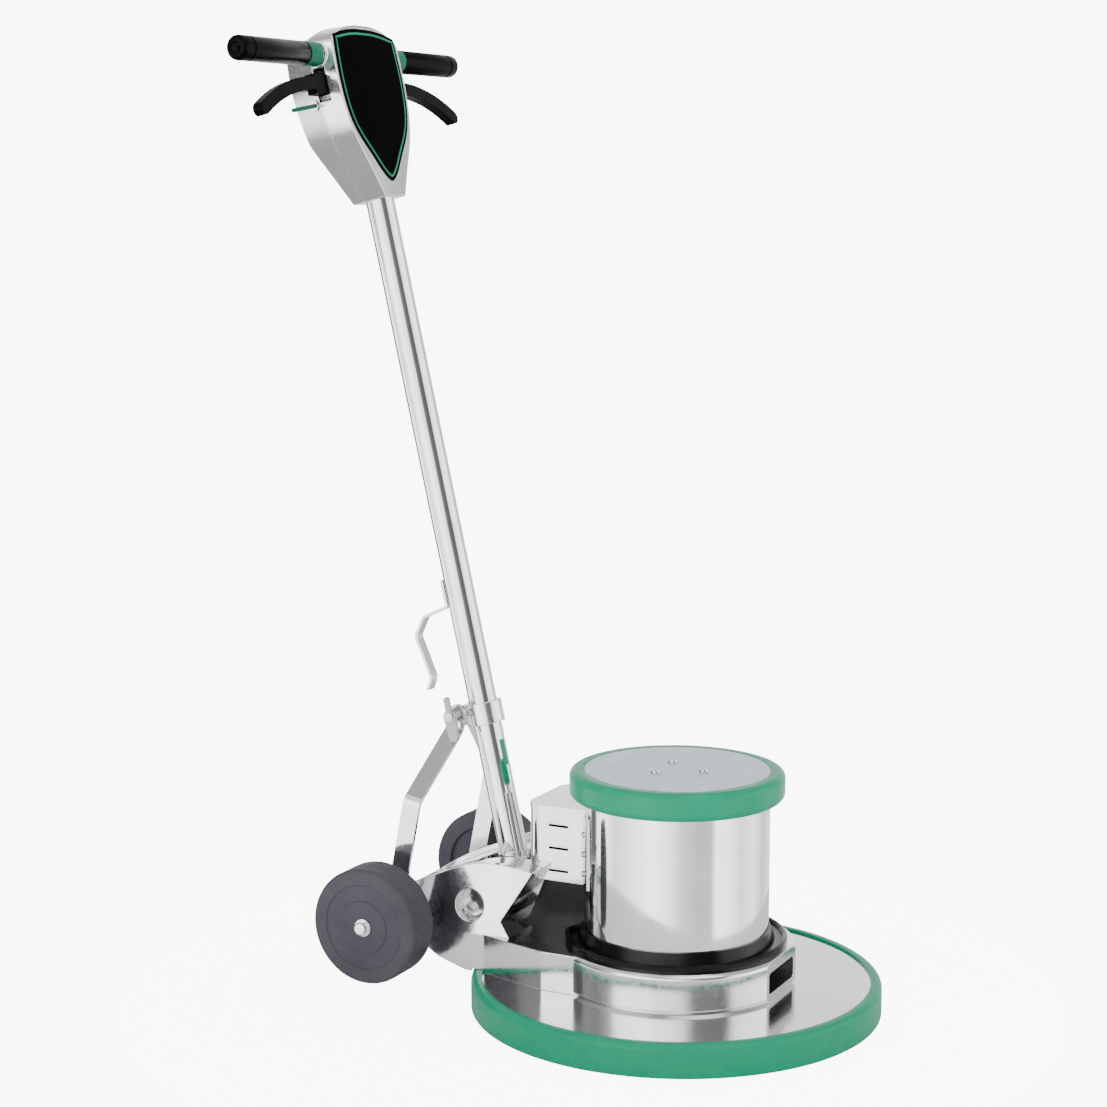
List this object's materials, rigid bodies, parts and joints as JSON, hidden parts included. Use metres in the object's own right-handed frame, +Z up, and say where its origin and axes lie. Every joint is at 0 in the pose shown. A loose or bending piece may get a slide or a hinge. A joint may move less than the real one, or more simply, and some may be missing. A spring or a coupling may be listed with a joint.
{
  "type": "rotary floor machine",
  "caption": "Rotary floor machine: round apron and motor under polished covers, transport wheels, tilting handle with clamp brace, grips and twin triggers.",
  "frame": {"origin": "on the drive axis at floor level, in the plane of the apron bumper's lower rim", "axes": "+Z up along the drive axis, +Y towards the operator and the wheels, +X to the operator's left"},
  "size_m": [0.534, 0.7998, 1.2653],
  "materials": {
    "polished_casting": "mirror-polished cast aluminium",
    "apron_metal": "polished spun aluminium",
    "green_bumper": "smooth green vinyl",
    "bright_steel": "bright chrome plate",
    "brushed_plate": "satin steel sheet",
    "plain_steel": "plated steel",
    "black_rubber": "semi-gloss black rubber",
    "grip_rubber": "ribbed black rubber",
    "green_sleeve": "dark green plastic",
    "trigger_black": "textured black plastic",
    "tyre_grey": "dark grey non-marking rubber",
    "wheel_grey": "dark grey moulded plastic",
    "badge_black": "gloss black label panel",
    "lever_grey": "dull cast lever",
    "cast_bracket": "as-cast",
    "motor_steel": "rolled steel",
    "lamination_steel": "stacked electrical steel",
    "copper": "enamelled copper winding",
    "gear_steel": "ground gear steel",
    "gear_nylon": "machined nylon composite",
    "hub_iron": "machined iron",
    "fan_black": "moulded black plastic",
    "slider_nylon": "natural nylon",
    "switch_black": "black phenolic",
    "gland_black": "black nylon gland"
  },
  "bodies": {
    "chassis": {"gear_case": "polished_casting", "apron": "apron_metal", "apron_bumper": "green_bumper", "apron_screws": "plain_steel", "motor_gasket": "black_rubber", "motor_can": "bright_steel", "motor_bumper": "green_bumper", "motor_top_plate": "brushed_plate", "cover_screws": "plain_steel", "motor_frame": "motor_steel", "stator_core": "lamination_steel", "stator_windings": "copper", "bearings": "plain_steel", "lower_bracket": "cast_bracket", "upper_bracket": "cast_bracket", "ring_gear": "gear_steel", "capacitor_box": "bright_steel", "capacitor_box_cap": "bright_steel", "capacitors": "switch_black", "wheel_axle": "plain_steel", "axle_spacers": "plain_steel", "axle_caps": "bright_steel", "pivot_bolt": "plain_steel"},
    "rotor": {"rotor_core": "lamination_steel", "motor_shaft": "plain_steel", "sun_gear": "gear_steel", "cooling_fan": "fan_black"},
    "drive": {"planet_carrier": "plain_steel", "output_shaft": "plain_steel", "drive_hub": "hub_iron"},
    "planet_1": {"planet_gear_1": "gear_nylon"},
    "planet_2": {"planet_gear_2": "gear_nylon"},
    "planet_3": {"planet_gear_3": "gear_nylon"},
    "wheel_right": {"tyre_right": "tyre_grey", "wheel_core_right": "wheel_grey"},
    "wheel_left": {"tyre_left": "tyre_grey", "wheel_core_left": "wheel_grey"},
    "handle": {"handle_knuckle": "bright_steel", "handle_tube": "bright_steel", "cord_hook": "bright_steel", "hook_screws": "plain_steel", "head_front_shell": "polished_casting", "head_rear_shell": "polished_casting", "badge": "badge_black", "handlebar": "plain_steel", "grips": "grip_rubber", "grip_sleeves": "green_sleeve", "trigger_pins": "plain_steel", "power_switch": "switch_black", "return_spring": "plain_steel", "lock_grommet": "bright_steel", "cord_gland": "gland_black"},
    "brace": {"brace_straps": "bright_steel"},
    "clamp": {"clamp_collar": "polished_casting", "clamp_pin": "plain_steel"},
    "clamp_lever": {"clamp_lever": "lever_grey"},
    "trigger_right": {"trigger_right": "trigger_black"},
    "trigger_left": {"trigger_left": "trigger_black"},
    "trigger_slider": {"trigger_slider": "slider_nylon"},
    "lock_pin": {"lock_pin": "green_sleeve"}
  },
  "joints": [
    {"name": "rotor_spin", "type": "hinge", "parent": "chassis", "child": "rotor", "pos_m": [0, 0, 0.17], "axis": [0, 0, 1], "continuous": true},
    {"name": "drive_spin", "type": "hinge", "parent": "chassis", "child": "drive", "pos_m": [0, 0, 0.05], "axis": [0, 0, 1], "continuous": true},
    {"name": "planet_1_spin", "type": "hinge", "parent": "drive", "child": "planet_1", "pos_m": [0.045, 0, 0.075], "axis": [0, 0, 1], "continuous": true},
    {"name": "planet_2_spin", "type": "hinge", "parent": "drive", "child": "planet_2", "pos_m": [-0.0225, 0.03897, 0.075], "axis": [0, 0, 1], "continuous": true},
    {"name": "planet_3_spin", "type": "hinge", "parent": "drive", "child": "planet_3", "pos_m": [-0.0225, -0.03897, 0.075], "axis": [0, 0, 1], "continuous": true},
    {"name": "wheel_right_spin", "type": "hinge", "parent": "chassis", "child": "wheel_right", "pos_m": [-0.1635, 0.359, 0.107], "axis": [1, 0, 0], "continuous": true},
    {"name": "wheel_left_spin", "type": "hinge", "parent": "chassis", "child": "wheel_left", "pos_m": [0.1635, 0.359, 0.107], "axis": [1, 0, 0], "continuous": true},
    {"name": "handle_tilt", "type": "hinge", "parent": "chassis", "child": "handle", "pos_m": [0, 0.261, 0.117], "axis": [-1, 0, 0], "range_deg": [-12.9, 27]},
    {"name": "brace_tilt", "type": "hinge", "parent": "chassis", "child": "brace", "pos_m": [0, 0.359, 0.107], "axis": [-1, 0, 0], "range_deg": [-14.3, 29.9]},
    {"name": "clamp_slide", "type": "slide", "parent": "handle", "child": "clamp", "axis": [0, 0.2233, 0.9748], "range_m": [-0.0238, 0.0497]},
    {"name": "clamp_lever_swing", "type": "hinge", "parent": "clamp", "child": "clamp_lever", "pos_m": [0, 0.30858, 0.36342], "axis": [-1, 0, 0], "range_deg": [0, 90]},
    {"name": "trigger_right_pull", "type": "hinge", "parent": "handle", "child": "trigger_right", "pos_m": [-0.058, 0.46979, 1.18825], "axis": [0, 0.9748, -0.2233], "range_deg": [0, 9], "stiffness_Nm_per_rad": 3, "springref_deg": -11.46, "deforming": ["return_spring"]},
    {"name": "trigger_left_pull", "type": "hinge", "parent": "handle", "child": "trigger_left", "pos_m": [0.058, 0.46979, 1.18825], "axis": [0, -0.9748, 0.2233], "range_deg": [0, 9]},
    {"name": "trigger_slide", "type": "slide", "parent": "handle", "child": "trigger_slider", "axis": [0, -0.2233, -0.9748], "range_m": [0, 0.0078]},
    {"name": "lock_push", "type": "slide", "parent": "handle", "child": "lock_pin", "axis": [0.9903, 0.0311, 0.1357], "range_m": [0, 0.006], "stiffness_N_per_m": 400, "springref_m": -0.004}
  ],
  "couplings": [
    {"joint": "drive_spin", "follows": "rotor_spin", "ratio": 0.1},
    {"joint": "planet_1_spin", "follows": "rotor_spin", "ratio": -0.225},
    {"joint": "planet_2_spin", "follows": "rotor_spin", "ratio": -0.225},
    {"joint": "planet_3_spin", "follows": "rotor_spin", "ratio": -0.225},
    {"joint": "brace_tilt", "follows": "handle_tilt", "ratio": 1.1},
    {"joint": "clamp_slide", "follows": "handle_tilt", "m_per_rad": 0.105},
    {"joint": "trigger_left_pull", "follows": "trigger_right_pull", "ratio": 1},
    {"joint": "trigger_slide", "follows": "trigger_right_pull", "m_per_rad": 0.049}
  ]
}
